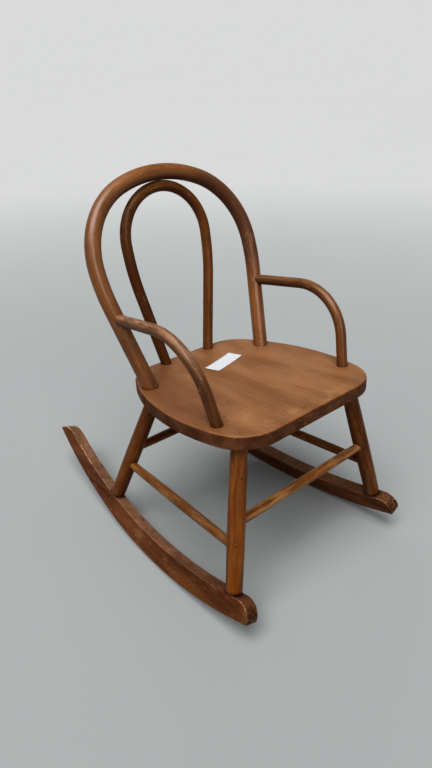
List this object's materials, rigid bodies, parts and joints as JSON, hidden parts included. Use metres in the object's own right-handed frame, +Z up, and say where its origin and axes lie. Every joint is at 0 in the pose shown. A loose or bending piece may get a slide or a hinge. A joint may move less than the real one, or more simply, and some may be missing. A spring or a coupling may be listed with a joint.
{
  "type": "hoop back rocking chair",
  "caption": "Child's rocking chair with a plank seat, splayed turned legs, bent-wood hoop back, bent arms and curved rockers.",
  "frame": {"origin": "on the floor, in the middle of the footprint (the bottom centre of the bounding box)", "axes": "+Z up, -Y the way the sitter faces, +X the sitter's left"},
  "size_m": [0.3662, 0.5722, 0.5809],
  "materials": {
    "seat_wood": "stained and varnished plank, mid brown, satin, worn at the edges",
    "bent_wood": "steam-bent rod, dark red-brown stain, glossy varnish",
    "turned_wood": "turned rod, orange-brown stain, glossy varnish",
    "rocker_wood": "sawn board, dark red-brown stain, scuffed satin varnish",
    "screw_steel": "plain steel, slightly dulled"
  },
  "bodies": {
    "root": {"seat": "seat_wood", "outer_hoop": "bent_wood", "inner_hoop": "bent_wood", "left_arm": "bent_wood", "right_arm": "bent_wood", "left_front_leg": "turned_wood", "right_front_leg": "turned_wood", "left_rear_leg": "turned_wood", "right_rear_leg": "turned_wood", "front_stretcher": "turned_wood", "rear_stretcher": "turned_wood", "left_side_stretcher": "turned_wood", "right_side_stretcher": "turned_wood", "left_rocker": "rocker_wood", "right_rocker": "rocker_wood", "hoop_crown_screw": "screw_steel", "left_arm_screw": "screw_steel", "right_arm_screw": "screw_steel", "outer_hoop_foot_screws": "screw_steel", "inner_hoop_foot_screws": "screw_steel", "arm_foot_screws": "screw_steel", "left_rocker_screws": "screw_steel", "right_rocker_screws": "screw_steel"}
  },
  "joints": []
}
